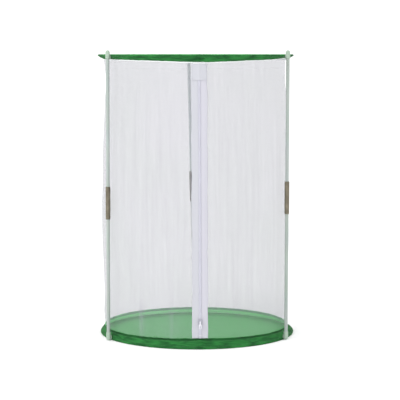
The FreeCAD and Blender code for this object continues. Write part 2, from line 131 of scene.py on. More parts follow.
def cloth_piece(name, rows, thickness, ring=False):
    """A piece of cloth as a closed skin round a grid of points, with a UV map in metres along its threads.
    Points run along a row and then row by row, and the face is on the side that the two directions' cross
    product gives. A ring's rows close on themselves."""
    rows = np.asarray(rows, float)
    count, across = rows.shape[:2]
    padded = np.concatenate([rows[:, -1:], rows, rows[:, :1]], 1) if ring else rows
    along = np.gradient(padded, axis=1)[:, 1:-1] if ring else np.gradient(padded, axis=1)
    up = np.gradient(rows, axis=0)
    normal = np.cross(along, up)
    normal /= np.maximum(np.linalg.norm(normal, axis=2, keepdims=True), 1e-12)
    sides = [rows + normal * thickness / 2, rows - normal * thickness / 2]
    points = np.concatenate([side.reshape(-1, 3) for side in sides])
    closed = np.concatenate([rows, rows[:, :1]], 1) if ring else rows
    u = np.concatenate([[0], np.cumsum(np.linalg.norm(np.diff(closed, axis=1), axis=2).mean(0))])
    v = np.concatenate([[0], np.cumsum(np.linalg.norm(np.diff(rows, axis=0), axis=2).mean(1))])
    spans = across if ring else across - 1
    i, j = np.meshgrid(np.arange(count - 1), np.arange(spans), indexing="ij")
    i, j = i.ravel(), j.ravel()
    k = (j + 1) % across
    front = np.stack([i * across + j, i * across + k, (i + 1) * across + k, (i + 1) * across + j], 1)
    back = front[:, ::-1] + count * across
    corner_u = np.stack([u[j], u[j + 1], u[j + 1], u[j]], 1)
    corner_v = np.stack([v[i], v[i], v[i + 1], v[i + 1]], 1)
    front_uv = np.stack([corner_u, corner_v], 2)
    faces = [front, back]
    corners = [front_uv, front_uv[:, ::-1]]
    half = count * across
    edges = []
    for row, flip in ((0, False), (count - 1, True)):
        a = row * across + np.arange(spans)
        b = row * across + (np.arange(spans) + 1) % across
        level = np.full(spans, v[row])
        edges.append((a, b, flip, u[:spans], u[1 : spans + 1], level, level))
    if not ring:
        for column, flip in ((0, True), (across - 1, False)):
            a = np.arange(count - 1) * across + column
            beside = np.full(count - 1, u[column])
            edges.append((a, a + across, flip, beside, beside, v[:-1], v[1:]))
    for a, b, flip, ua, ub, va, vb in edges:
        rim = np.stack([a, a + half, b + half, b], 1)
        uv = np.stack([np.stack([ua, ua, ub, ub], 1), np.stack([va, va, vb, vb], 1)], 2)
        faces.append(rim[:, ::-1] if flip else rim)
        corners.append(uv[:, ::-1] if flip else uv)
    return mesh_piece(name, points, np.concatenate(faces), np.concatenate(corners))


def mesh_piece(name, points, faces, corners=None):
    """A smooth mesh object of those points and faces, and of the UV corners of each face if it has any."""
    mesh = bpy.data.meshes.new(name)
    faces = faces.tolist() if isinstance(faces, np.ndarray) else faces
    mesh.from_pydata(np.asarray(points).tolist(), [], faces)
    if corners is not None:
        layer = mesh.uv_layers.new(name="cloth")
        layer.data.foreach_set("uv", np.asarray(corners, np.float32).ravel())
    mesh.shade_smooth()
    made = bpy.data.objects.new(name, mesh)
    bpy.context.scene.collection.objects.link(made)
    return made


WAVE_PERIOD = 2 * math.pi / 20


def weave(tree, warp_mm, weft_mm):
    """The height of a plain weave from 0 to 1, with threads at those spacings along the UV map. The wave
    texture repeats once in that period at a scale of 1."""
    place = add(tree, "UVMap", {"uv_map": "cloth"})
    shape = {"wave_type": "BANDS", "wave_profile": "SIN", "Distortion": 0.25, "Detail": 1.0}
    threads = []
    for direction, spacing in (("X", warp_mm), ("Y", weft_mm)):
        settings = {**shape, "bands_direction": direction, "Scale": WAVE_PERIOD / (spacing / 1000)}
        threads.append(add(tree, "TexWave", settings, {"Vector": place.outputs[0]}).outputs["Fac"])
    return add(tree, "Math", {"operation": "MULTIPLY"}, {0: threads[0], 1: threads[1]}).outputs[0]


def polyester(name, colour, shade, thread_mm, roughness, crumple_mm):
    """Woven polyester, a matte cloth. Its threads of about 0.4 mm are drawn coarser, so that the weave shows
    as a fine grain.
    Small crumples left by folding raise and sink it in streaks, and the same streaks darken and lighten its
    colour as painted shade and light."""
    made, tree, shader = finish_named(name, Roughness=roughness, IOR=1.54, Specular_IOR_Level=0.15)
    place = add(tree, "UVMap", {"uv_map": "cloth"})
    threads = weave(tree, thread_mm, thread_mm * 1.15)
    crumple = streaks(tree, place.outputs[0], (22.0, 90.0, 1.0), 0.35,
                      Detail=5.0, Roughness=0.62, Distortion=0.8)
    # Painted shade and light: the crumple streaks darken the colour where the bump sinks the cloth and
    # lighten it where the bump raises it.
    tone = ramp(tree, crumple, linear(shade), linear(colour), 0.36, 0.62)
    grey = ramp(tree, threads, (0.6, 0.6, 0.6, 1), (1, 1, 1, 1))
    dark = add(tree, "Mix", {"data_type": "RGBA", "blend_type": "MULTIPLY", "Factor": 0.25},
               {"A": tone, "B": grey})
    tree.links.new(dark.outputs["Result"], shader.inputs["Base Color"])
    folds = add(tree, "Bump", {"Strength": 0.7, "Distance": crumple_mm / 1000}, {"Height": crumple})
    bump = add(tree, "Bump", {"Strength": 0.35, "Distance": 0.0004},
               {"Height": threads, "Normal": folds.outputs[0]})
    tree.links.new(bump.outputs[0], shader.inputs["Normal"])
    return made


def lined(piece, outer, inner):
    """Gives a cloth its face material, and, wherever it faces the drum's axis, the paler inside material:
    painted light that brightens the shade inside the drum.
    """
    piece.data.materials.append(outer)
    piece.data.materials.append(inner)
    for polygon in piece.data.polygons:
        facing = polygon.center.x * polygon.normal.x + polygon.center.y * polygon.normal.y
        polygon.material_index = int(facing < 0)


floor_green = polyester("woven green polyester, floor", "#5bbf65", "#4fb459", 1.6, 0.85, 0.5)
floor_low, floor_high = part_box("base_floor")
floor_radius = (floor_high.x - floor_low.x) / 2
SEAM_START, SEAM_RISE = 0.965, 0.0045
side = np.linspace(-1, 1, 121)
across, deep = np.meshgrid(side, side)
disc_x = floor_radius * across * np.sqrt(1 - deep**2 / 2)
disc_y = floor_radius * deep * np.sqrt(1 - across**2 / 2)
reach = np.hypot(disc_x, disc_y) / floor_radius
turn = np.arctan2(disc_x, -disc_y)
ripple = 0.0009 * reach**3 * (np.sin(11 * turn + 3 * reach) + np.sin(7 * turn - 1) + 2) / 4
ripple += 0.0004 * (np.sin(disc_x * 61 + 1) * np.sin(disc_y * 47) + 1) * (1 - reach**4)
ripple += SEAM_RISE * np.clip((reach - SEAM_START) / (1 - SEAM_START), 0, 1) ** 2
floor_cloth = cloth_piece("floor_cloth", np.stack([disc_x, disc_y, 0.0004 + ripple], 2), 0.0005)
floor_cloth.data.materials.append(floor_green)
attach(floor_cloth, "base")
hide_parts("base_floor")

# Base band: a bias strip of the same green polyester. Its lower edge is folded outwards round the spring hoop
# and sewn to the floor, and it slopes in to the foot of the wall. The strip's two ends meet at the zip.

CHANNEL_INSIDE = 0.2448
CHANNEL_HEIGHT = 0.0029
BAND_CLOTH = 0.0006
FULL_TURN = np.linspace(-math.pi, math.pi, 540, endpoint=False)


def around(radius, turn, height):
    """Points at those radii, angles round from the zip, and heights."""
    radius, turn, height = np.broadcast_arrays(radius, turn, height)
    return np.stack([radius * np.sin(turn), -radius * np.cos(turn), height], -1)


def bell(value, centre, width):
    """A smooth bump of height 1 at the centre, which fades over the width."""
    return np.exp(-(((value - centre) / width) ** 2))


def puckers(turn, seed):
    """Uneven little gathers from -1 to 1 round a sewn ring."""
    waves = ((23, 0.9), (41, 0.7), (67, 0.6), (97, 0.5), (151, 0.35))
    total = sum(a * np.sin(k * turn + seed * (n + 1.7)) for n, (k, a) in enumerate(waves))
    return total / sum(a for _, a in waves)


def by_angle(turns, values, turn):
    """Values between those given at some angles, eased over a tenth of a radian each way."""
    spread = turn[..., None] + np.linspace(-0.1, 0.1, 9)
    return np.interp(spread, turns, values).mean(-1)


def band_rows(hoop_height, outside, edge_radius, edge_height, upward, seed, press):
    """Rows of a band from its hem inside the hoop, round the hoop and out to its free edge. The channel is
    pressed flatter than round by the press factor."""
    turn = FULL_TURN
    rows = []
    crumple = bell(turn, 0.012, 0.035)
    outside = outside + 0.0003 * puckers(turn, seed)
    ring, half = (outside + CHANNEL_INSIDE) / 2, (outside - CHANNEL_INSIDE) / 2
    rise = CHANNEL_HEIGHT * (1 + 0.08 * puckers(turn, seed + 2) + 0.2 * crumple)
    for angle in np.radians(np.linspace(-225, 48, 20)):
        rows.append((ring + half * math.cos(angle), hoop_height + press * upward * rise * math.sin(angle)))
    start_radius, start_height = rows[-1]
    for share in np.linspace(0.06, 1, 16):
        swing = math.sin(math.pi * min(share * 1.1, 1))
        hang = 0.0012 * puckers(turn + 0.5 * share, seed + 5) * swing
        hang += 0.0008 * np.sin(31 * turn + 6 * share + seed) * swing * np.abs(np.sin(2.3 * turn + seed))
        fold = 0.0018 * crumple * math.sin(3 * math.pi * share)
        radius = start_radius + (edge_radius - start_radius) * share + hang + fold
        height = start_height + (edge_height - start_height) * share
        rows.append((radius, height))
    return np.stack([around(radius, turn, height) for radius, height in rows])


band_green = polyester("woven green polyester, band", "#2d7c3a", "#1a5428", 1.4, 0.78, 1.2)
# Painted light: the bands' inside faces get this paler, brighter green than the outside, to lift the shade
# inside the drum. Its subsurface lets some light through the cloth.
band_inside = polyester("woven green polyester, inside painted lighter", "#74d47f", "#66c873", 1.4, 0.85, 0.6)
inside_lightening_shader = band_inside.node_tree.nodes["Principled BSDF"]
inside_lightening_shader.inputs["Subsurface Weight"].default_value = 1.0
inside_lightening_shader.inputs["Subsurface Radius"].default_value = (0.004, 0.004, 0.004)
inside_lightening_shader.inputs["Subsurface Scale"].default_value = 1.0
BASE_HOOP_HEIGHT, GROUND_GAP = 0.0031, 0.0004
FOOT_TURNS = (-3.2, -2.0, -1.5, -0.9, -0.3, 0.0, 0.3, 0.9, 1.5, 2.0, 3.2)
FOOT_RADII = (0.2360, 0.2360, 0.2375, 0.2400, 0.2418, 0.2430, 0.2415, 0.2385, 0.2345, 0.2350, 0.2360)
FOOT_HEIGHTS = (0.0190, 0.0190, 0.0188, 0.0192, 0.0212, 0.0232, 0.0212, 0.0192, 0.0188, 0.0190, 0.0190)
base_edge_radius = by_angle(FOOT_TURNS, FOOT_RADII, FULL_TURN) + 0.0003 * puckers(FULL_TURN, 8)
base_edge_height = by_angle(FOOT_TURNS, FOOT_HEIGHTS, FULL_TURN) + 0.0005 * puckers(FULL_TURN, 3)
base_outside = 0.2505 + 0.0019 * np.sin(FULL_TURN)
base_rows = band_rows(BASE_HOOP_HEIGHT, base_outside, base_edge_radius, base_edge_height, 1, 1.0, 1.0)
base_rows[:, :, 2] = np.maximum(base_rows[:, :, 2], GROUND_GAP)
base_band = cloth_piece("base_band_cloth", base_rows, BAND_CLOTH, ring=True)
lined(base_band, band_green, band_inside)
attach(base_band, "base")
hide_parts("base_band")


THREAD_SIDES = 5


def stitches(name, path, outward, length, gap, thread, closed=False):
    """A row of lockstitches: short humps of thread that lie along a path and dip into the cloth between."""
    path = np.asarray(path, float)
    outward = np.asarray(outward, float)
    if closed:
        path = np.concatenate([path, path[:1]])
        outward = np.concatenate([outward, outward[:1]])
    run = np.concatenate([[0], np.cumsum(np.linalg.norm(np.diff(path, axis=0), axis=1))])
    count = int(run[-1] / (length + gap))
    points, faces = [], []
    spots = ((0, 0.25, -0.4), (0.2, 1, 0.5), (0.8, 1, 0.5), (1, 0.25, -0.4))
    for k in range(count):
        start = (k + 0.5) * run[-1] / count - length / 2
        first = len(points)
        for share, girth, lift in spots:
            at = start + share * length
            spot = np.array([np.interp(at, run, path[:, axis]) for axis in range(3)])
            ahead = np.array([np.interp(at + 1e-4, run, path[:, axis]) for axis in range(3)])
            out = np.array([np.interp(at, run, outward[:, axis]) for axis in range(3)])
            out /= np.linalg.norm(out)
            along = ahead - spot
            beside = np.cross(out, along / max(np.linalg.norm(along), 1e-9))
            centre = spot + out * thread * lift
            for angle in 2 * math.pi * np.arange(THREAD_SIDES) / THREAD_SIDES:
                spoke = beside * math.cos(angle) + out * math.sin(angle)
                points.append(centre + girth * thread / 2 * spoke)
        last = len(points) - THREAD_SIDES
        for ring in range(first, last, THREAD_SIDES):
            for turn in range(THREAD_SIDES):
                a, b = ring + turn, ring + (turn + 1) % THREAD_SIDES
                faces.append((a, b, b + THREAD_SIDES, a + THREAD_SIDES))
        faces.append(tuple(range(first + THREAD_SIDES - 1, first - 1, -1)))
        faces.append(tuple(range(last, last + THREAD_SIDES)))
    return mesh_piece(name, points, faces)


def thread(name, colour):
    """Spun polyester sewing thread, matte, with the twist of its plies as fine slanting lines."""
    made, tree, shader = finish_named(name, Roughness=0.7, IOR=1.54, Sheen_Weight=0.3)
    place = add(tree, "TexCoord")
    plies = add(tree, "TexWave", {"bands_direction": "DIAGONAL", "Scale": 420.0, "Distortion": 1.0},
                {"Vector": place.outputs["Object"]})
    tone = ramp(tree, plies.outputs["Fac"], darker(colour, 0.6), linear(colour))
    tree.links.new(tone, shader.inputs["Base Color"])
    return made


def ring_of(rows, share):
    """The path round a band at that share of its rows, and the way out of the cloth there."""
    row = int(share * (len(rows) - 1))
    along = np.roll(rows[row], -1, 0) - rows[row]
    up = rows[min(row + 1, len(rows) - 1)] - rows[row - 1]
    out = np.cross(along, up)
    out /= np.linalg.norm(out, axis=1, keepdims=True)
    return rows[row] + out * 0.0004, out


# Each kind of stitch has a length, a gap and a thickness of thread.
BAND_STITCH = (0.0024, 0.0011, 0.0005)
ZIP_STITCH = (0.0026, 0.0012, 0.0005)
POCKET_STITCH = (0.0018, 0.0008, 0.0005)
green_thread = thread("spun green polyester thread", "#2c6a38")
for line, share in (("hoop", 0.60), ("edge", 0.93)):
    path, out = ring_of(base_rows, share)
    seam = stitches(f"base_band_{line}_stitches", path, out, *BAND_STITCH, closed=True)
    seam.data.materials.append(green_thread)
    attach(seam, "base")

# Hoops and crimps: each hoop is one length of bright spring wire, closed by a pressed steel tube. They lie
# inside the bands' folded edges and stay as the frame gives them.


def drawn_steel(name, colour, roughness, streak):
    """Drawn steel wire or tube: bright, with fine lines along the way it was drawn."""
    made, tree, shader = finish_named(name, Metallic=1.0, Roughness=roughness)
    place = add(tree, "TexCoord")
    lines = streaks(tree, place.outputs["Object"], streak, Detail=6.0, Roughness=0.7)
    tone = ramp(tree, lines, darker(colour, 0.55), linear(colour), 0.3, 0.7)
    tree.links.new(tone, shader.inputs["Base Color"])
    uneven_gloss(tree, shader, lines, roughness * 0.8, roughness * 1.35)
    relief(tree, shader, lines, 0.15, 0.0001)
    return made


def dress(node_name, finish):
    """A frame part keeps its shape and gets that finish."""
    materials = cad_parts[node_name].data.materials
    materials.clear()
    materials.append(finish)


spring_wire = drawn_steel("drawn spring steel", "#b9babb", 0.3, (260.0, 260.0, 900.0))
pressed_tube = drawn_steel("pressed steel tube", "#9c9a94", 0.42, (420.0, 420.0, 420.0))
for level in ("base", "top"):
    dress(f"{level}_hoop", spring_wire)
    dress(f"{level}_hoop_crimp", pressed_tube)

# Wall: one sheet of fine translucent nylon net, rolled into a drum and sewn to both bands. It hangs slack
# between them, so it necks in under the top band, swells below the middle and takes slow upright folds.

NET_FOOT, NET_HEAD = 0.0165, 0.713
NET_AT_ZIP, NET_MEAN = 0.2402, 0.24
FREE_HEAD, SEWN_REACH = 0.705, 0.03
STRIP_RADIUS = 0.2405
LEAN, LEAN_FROM, LEAN_OVER = 0.0025, 0.10, 0.60

WALL_LEVELS = (
    0.055, 0.108, 0.187, 0.239, 0.278, 0.343, 0.408, 0.473,
    0.525, 0.576, 0.610, 0.640, 0.661, 0.679, 0.702,
)
LEFT_RADII = (
    0.2382, 0.2362, 0.2384, 0.2406, 0.2410, 0.2414, 0.2386, 0.2380,
    0.2352, 0.2328, 0.2316, 0.2280, 0.2282, 0.2312, 0.2342,
)
RIGHT_RADII = (
    0.2345, 0.2360, 0.2379, 0.2396, 0.2398, 0.2400, 0.2388, 0.2381,
    0.2373, 0.2356, 0.2336, 0.2298, 0.2288, 0.2290, 0.2308,
)
HEAD_TURNS = (-3.2, -2.2, -1.5, -0.9, -0.45, 0.0, 0.45, 0.9, 1.5, 2.2, 3.2)
HEAD_RADII = (0.2343, 0.2345, 0.2355, 0.2375, 0.2405, 0.2429, 0.2400, 0.2365, 0.2330, 0.2335, 0.2343)


def wall_radius(turn, height):
    """How far the net stands from the axis: its slack shape with its folds, which fade near the stiff zip."""
    free = 1 - bell(turn, 0, 0.30)
    side = (1 + np.sin(turn)) / 2
    left = np.interp(height, WALL_LEVELS, LEFT_RADII)
    right = np.interp(height, WALL_LEVELS, RIGHT_RADII)
    body = left + (right - left) * side
    foot = np.clip((WALL_LEVELS[0] - height) / (WALL_LEVELS[0] - NET_FOOT), 0, 1)
    head = np.clip((height - WALL_LEVELS[-1]) / (NET_HEAD - WALL_LEVELS[-1]), 0, 1)
    body += foot * (by_angle(FOOT_TURNS, FOOT_RADII, turn) - 0.0016 - body)
    body += head * (by_angle(HEAD_TURNS, HEAD_RADII, turn) + LEAN * np.sin(turn) - body)
    slack = np.clip((height - NET_FOOT) / SEWN_REACH, 0, 1) * np.clip((FREE_HEAD - height) / SEWN_REACH, 0, 1)
    folds = 0.0009 * np.sin(9 * turn + 1.3 + 1.1 * np.sin(5 * height))
    folds += 0.0008 * np.sin(14 * turn - 6.6 * height)
    folds += 0.0006 * np.sin(23 * turn + 4 * height) + 0.0005 * np.sin(37 * turn + 9 * height + 2)
    folds += 0.0008 * puckers(turn, 4.0) * (bell(height, 0.69, 0.05) + bell(height, 0.04, 0.04))
    gathers = 0.0012 * np.abs(np.sin(17 * turn + 2.0)) * bell(height, 0.655, 0.04)
    return NET_AT_ZIP + free * (body - NET_AT_ZIP + slack * (folds + gathers)) + slack * crease(turn, height)


DEEPEST_CREASE, CREASE_WIDTH = 0.0022, 0.009


def crease(turn, height):
    """Sharper creases left by folding and by the pull of the poles' pockets. Each goes along a slanting line,
    from one angle and height to another, and has a depth."""
    total = np.zeros(np.broadcast(turn, height).shape)
    lines = (
        (0.379, 0.482, 0.145, 0.320, 0.0014), (-0.655, 0.16, -0.635, 0.002, DEEPEST_CREASE),
        (-0.29, 0.15, -0.29, 0.002, 0.0014), (-0.90, 0.46, -0.72, 0.30, 0.0008),
        (0.95, 0.66, 0.66, 0.50, 0.0008), (-0.75, 0.30, -0.50, 0.16, 0.0005),
        (0.80, 0.28, 0.62, 0.14, 0.0005), (2.2, 0.60, 1.8, 0.36, 0.0007),
        (-2.3, 0.55, -1.9, 0.30, 0.0007), (2.9, 0.45, 2.6, 0.20, 0.0006),
        (-2.8, 0.35, -2.6, 0.12, 0.0006),
    )
    for turn_a, height_a, turn_b, height_b, depth in lines:
        run = np.array([(turn_b - turn_a) * NET_MEAN, height_b - height_a])
        reach = np.linalg.norm(run)
        run /= reach
        x, y = (turn - turn_a) * NET_MEAN, height - height_a
        along = (x * run[0] + y * run[1]) / reach
        off = x * run[1] - y * run[0]
        ends = np.clip(4 * along, 0, 1) * np.clip(4 * (1 - along), 0, 1)
        total += depth * bell(off, 0, CREASE_WIDTH) * ends
    return total


TAPE_LAP = 0.0045
zip_tape_low, zip_tape_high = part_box("zip_tape_right")
slot_turn = math.asin((zip_tape_high.x - TAPE_LAP) / STRIP_RADIUS)
wall_turn = np.linspace(slot_turn, 2 * math.pi - slot_turn, 720)
wall_turn = (wall_turn + math.pi) % (2 * math.pi) - math.pi
wall_height = np.linspace(NET_FOOT, NET_HEAD, 260)
turns, heights = np.meshgrid(wall_turn, wall_height)


def leaned(points):
    """Points of the net or the zip, which lean a few millimetres to the left on their way up."""
    moved = np.array(points)
    moved[..., 0] -= LEAN * np.clip((moved[..., 2] - LEAN_FROM) / LEAN_OVER, 0, 1)
    return moved


wall_rows = leaned(around(wall_radius(turns, heights), turns, heights))


def net_finish(name, cover, colour, shade):
    """Fine nylon net, matte and see-through. Its holes of under 1 mm are too fine to draw one by one, so it
    covers a share of what is behind it: the cover at least, and more on its threads, in streaks where it is
    drawn up, in folds and at the foot."""
    made, tree, shader = finish_named(name, Roughness=0.95, IOR=1.53)
    place = add(tree, "UVMap", {"uv_map": "cloth"})
    mesh_lines = weave(tree, 2.4, 3.2)
    streak = streaks(tree, place.outputs[0], (100.0, 3.5, 1.0), Detail=4.0, Roughness=0.65)
    slow = add(tree, "TexNoise", {"Scale": 6.0, "Detail": 3.0}, {"Vector": place.outputs[0]})
    tones = ramp(tree, slow.outputs["Fac"], linear(shade), linear(colour), 0.35, 0.65)
    tree.links.new(tones, shader.inputs["Base Color"])
    rise = add(tree, "SeparateXYZ", (), {0: place.outputs[0]})
    low_down = {"From Min": 0.0, "From Max": 0.45, "To Min": 0.03, "To Max": 0.0}
    share = add(tree, "MapRange", low_down, {"Value": rise.outputs["Y"]}).outputs[0]
    fold = add(tree, "Attribute", {"attribute_name": "fold"})
    for more, value in ((0.14, fold.outputs["Fac"]), (0.08, mesh_lines), (0.14, streak)):
        share = add(tree, "Math", {"operation": "MULTIPLY_ADD", 1: more}, {0: value, 2: share}).outputs[0]
    full = add(tree, "Math", {"operation": "ADD", "use_clamp": True, 1: cover}, {0: share})
    tree.links.new(full.outputs[0], shader.inputs["Alpha"])
    relief(tree, shader, mesh_lines, 0.25, 0.0003)
    return made


def single_cloth(name, rows):
    """A piece of cloth too thin to need two faces, with the same UV map."""
    made = cloth_piece(name, rows, 0.0)
    half = len(made.data.vertices) // 2
    keep = [p for p in made.data.polygons if max(p.vertices) < half]
    points = [made.data.vertices[k].co[:] for k in range(half)]
    layer = made.data.uv_layers["cloth"].data
    corners = [[layer[k].uv[:] for k in p.loop_indices] for p in keep]
    faces = [list(p.vertices) for p in keep]
    bpy.data.objects.remove(made)
    return mesh_piece(name, points, faces, corners)


NET_COVER = 0.22
# Painted shade: the net's threads are coloured a mid grey, far darker than white nylon, so that the net reads
# grey against the bright backdrop.
white_net = net_finish("fine white nylon net, wall", NET_COVER, "#9b99a6", "#92959c")
wall = single_cloth("wall_cloth", wall_rows)
wall.data.materials.append(white_net)
FOLDS_END, FOLDS_FADE = 0.12, 0.04
doubled = np.clip(crease(turns, heights) / DEEPEST_CREASE, 0, 1)
doubled *= np.clip((FOLDS_END - heights) / FOLDS_FADE, 0, 1)
fold_depth = wall.data.attributes.new("fold", "FLOAT", "POINT")
fold_depth.data.foreach_set("value", doubled.astype(np.float32).ravel())
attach(wall, "base")
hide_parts("wall_net")

# Zip: two woven polyester tapes sewn over the net's edges, each with a nylon coil along its inner edge. The
# two coils mesh down the middle. A plain patch covers the head, and a moulded stop closes the foot. The zip
# is fixed to the base, as the net is.

TAPE_INNER = 0.2406
TAPE_THICK = 0.0007
TAPE_EDGE, TAPE_CURL_FROM = 0.0195, 0.0165
TAPE_DROP, SEAM_FOOT_GAP, SEAM_HEAD_GAP = 0.0062, 0.005, 0.002
FORWARD = (0.0, -1.0, 0.0)
zip_parts = []


def tape_rows(near, far, low, high, lift, steps):
    """Rows of a strip of tape beside the zip, from near to far along X. Its outer edge strays a little."""
    x, z = np.meshgrid(np.linspace(near, far, steps), np.linspace(low, high, 220))
    edge = np.clip(np.abs(x) / TAPE_EDGE, 0, 1) ** 3
    stray = 0.5 * np.sin(z * 43 + np.sign(x)) + 0.3 * np.sin(z * 91 + 2 * np.sign(x)) + 0.2 * np.sin(z * 173)
    wave = 0.0003 * np.sin(z * 61 + 2 * np.sign(near + far)) * edge
    curl = 0.0006 * np.clip((np.abs(x) - TAPE_CURL_FROM) / (TAPE_EDGE - TAPE_CURL_FROM), 0, 1) ** 2
    x = x + 0.0011 * stray * edge * np.sign(x)
    depth = np.sqrt((TAPE_INNER + TAPE_THICK / 2 + lift) ** 2 - x**2) + wave - curl
    return leaned(np.stack([x, -depth, z], 2))


def zip_tape_finish(name, colour, shade):
    """Woven zip tape, matte, with close ribs along its length."""
    made, tree, shader = finish_named(name, Roughness=0.82, IOR=1.54, Sheen_Weight=0.2)
    place = add(tree, "UVMap", {"uv_map": "cloth"})
    along = {"bands_direction": "X", "Scale": WAVE_PERIOD / 0.0026, "Distortion": 0.4, "Detail": 2.0}
    across = {"bands_direction": "Y", "Scale": WAVE_PERIOD / 0.0018}
    vector = {"Vector": place.outputs[0]}
    ribs, picks = [add(tree, "TexWave", kind, vector).outputs["Fac"] for kind in (along, across)]
    both = add(tree, "Math", {"operation": "MULTIPLY_ADD", 1: 0.5}, {0: picks, 2: ribs})
    tree.links.new(ramp(tree, ribs, linear(shade), linear(colour)), shader.inputs["Base Color"])
    relief(tree, shader, both.outputs[0], 0.4, 0.0004)
    return made


tape_left_white = zip_tape_finish("woven zip tape, cool side", "#c4c5cb", "#b8b9c1")
tape_right_white = zip_tape_finish("woven zip tape, warm side", "#c8c7d0", "#bcbbc5")
tape_foot = zip_tape_low.z - TAPE_DROP
white_thread = thread("spun white polyester thread", "#d5d7db")
for side_name, sign, finish in (("left", -1, tape_left_white), ("right", 1, tape_right_white)):
    low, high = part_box(f"zip_tape_{side_name}")
    near, far = sorted((low.x, high.x))
    rows = tape_rows(near, far, tape_foot, high.z, 0.0, 16)
    tape = cloth_piece(f"zip_tape_{side_name}_cloth", rows, TAPE_THICK)
    tape.data.materials.append(finish)
    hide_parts(f"zip_tape_{side_name}")
    zip_parts.append(tape)
    for line, x in (("inner", 0.0145), ("outer", 0.0183)):
        near, far = sign * x - 0.0001, sign * x + 0.0001
        seam_low, seam_high = tape_foot + SEAM_FOOT_GAP, high.z - SEAM_HEAD_GAP
        path = tape_rows(near, far, seam_low, seam_high, TAPE_THICK / 2, 2)[:, 0]
        seam = stitches(f"zip_tape_{side_name}_{line}_stitches", path, [FORWARD] * len(path), *ZIP_STITCH)
        seam.data.materials.append(white_thread)
        zip_parts.append(seam)

# Coils: each is one nylon monofilament wound into a flat spiral and sewn to its tape. The turns of the left
# coil sit half a pitch above those of the right, so that they mesh.

COIL_PITCH = 0.0016
MONOFILAMENT = 0.0009
COIL_MESH = 0.0006
COIL_FOOT_GAP, COIL_UNDER_PATCH = 0.0015, 0.0012


def coil_points(sign, low, high, inner, outer, back, front):
    """A flattened spiral of monofilament, from an inner side just past the zip's middle to a sewn side."""
    turns_up = int((high - low) / COIL_PITCH)
    step = np.linspace(0, turns_up, turns_up * 10 + 1)
    angle = 2 * math.pi * step
    x = sign * ((inner + outer) / 2 + (outer - inner) / 2 * np.cos(angle + math.pi))
    depth = (back + front) / 2 + (front - back) / 2 * np.sin(angle)
    z = low + COIL_PITCH * (step + (0.5 if sign < 0 else 0.0))
    return np.stack([x, -depth, np.minimum(z, high)], 1)


def wire_mesh(name, path, girth, sides):
    """A thin round wire along a path, with that many sides."""
    ahead = np.gradient(path, axis=0)
    ahead /= np.linalg.norm(ahead, axis=1, keepdims=True)
    beside = np.cross(ahead, np.array([0.0, 0.0, 1.0]))
    beside /= np.maximum(np.linalg.norm(beside, axis=1, keepdims=True), 1e-9)
    over = np.cross(beside, ahead)
    turn = 2 * math.pi * np.arange(sides)[:, None] / sides
    rings = path[:, None] + girth / 2 * (beside[:, None] * np.cos(turn) + over[:, None] * np.sin(turn))
    i, j = np.meshgrid(np.arange(len(path) - 1), np.arange(sides), indexing="ij")
    i, j = i.ravel(), j.ravel()
    k = (j + 1) % sides
    faces = np.stack([i * sides + j, i * sides + k, (i + 1) * sides + k, (i + 1) * sides + j], 1).tolist()
    faces.append(list(range(sides))[::-1])
    faces.append([(len(path) - 1) * sides + n for n in range(sides)])
    return mesh_piece(name, rings.reshape(-1, 3), faces)


def nylon(name, colour, shade):
    """Extruded nylon monofilament: satin, slightly clear, with tiny die lines."""
    made, tree, shader = finish_named(name, Roughness=0.38, IOR=1.53)
    place = add(tree, "TexCoord")
    lines = add(tree, "TexNoise", {"Scale": 700.0, "Detail": 3.0}, {"Vector": place.outputs["Object"]})
    tone = ramp(tree, lines.outputs["Fac"], linear(shade), linear(colour))
    tree.links.new(tone, shader.inputs["Base Color"])
    uneven_gloss(tree, shader, lines.outputs["Fac"], 0.3, 0.5)
    return made


patch_low, patch_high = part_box("zip_top_patch")
# Painted light: the coil is coloured lighter than its tapes, to offset the shade in its grooves.
coil_nylon = nylon("extruded nylon coil", "#dedee8", "#d0d0dc")
for side_name, sign in (("left", -1), ("right", 1)):
    low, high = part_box(f"zip_coil_{side_name}")
    outer = max(abs(low.x), abs(high.x)) - MONOFILAMENT / 2
    back, front = -high.y + MONOFILAMENT / 2, -low.y - MONOFILAMENT / 2
    coil_low, coil_high = tape_foot + COIL_FOOT_GAP, patch_low.z + COIL_UNDER_PATCH
    path = leaned(coil_points(sign, coil_low, coil_high, -COIL_MESH, outer, back, front))
    coil = wire_mesh(f"zip_coil_{side_name}_spiral", path, MONOFILAMENT, 5)
    coil.data.materials.append(coil_nylon)
    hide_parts(f"zip_coil_{side_name}")
    zip_parts.append(coil)

# Patch: a plain square of tape folded over the head of the zip and sewn down all round.

PATCH_LIFT = 0.0012
patch_rows = tape_rows(patch_low.x, patch_high.x, patch_low.z, patch_high.z, PATCH_LIFT, 24)
patch_rows[:, :, 1] -= 0.0012 * bell(patch_rows[:, :, 0], -0.002, 0.004)
patch = cloth_piece("zip_top_patch_cloth", patch_rows, TAPE_THICK)
patch.data.materials.append(tape_left_white)
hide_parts("zip_top_patch")
zip_parts.append(patch)
PATCH_MARGIN, PATCH_FACE = 0.0025, 0.0021
seam_x = patch_high.x - PATCH_MARGIN
seam_foot, seam_head = patch_low.z + PATCH_MARGIN, patch_high.z - PATCH_MARGIN
seam_depth = math.sqrt((TAPE_INNER + PATCH_FACE) ** 2 - seam_x**2) + 0.0001
seam_corners = ((-1, seam_foot), (1, seam_foot), (1, seam_head), (-1, seam_head), (-1, seam_foot))
frame_path = [(x * seam_x, -seam_depth, z) for x, z in seam_corners]
box_seam = stitches("zip_top_patch_stitches", leaned(frame_path), [FORWARD] * len(frame_path), *ZIP_STITCH)
box_seam.data.materials.append(white_thread)
zip_parts.append(box_seam)

for piece in zip_parts:
    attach(piece, "base")
for piece in [wall, *zip_parts]:
    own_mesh(piece)

# Bindings: narrow folded tapes sewn over the seams between the net and the two bands, dark green at the foot
# and white at the head.


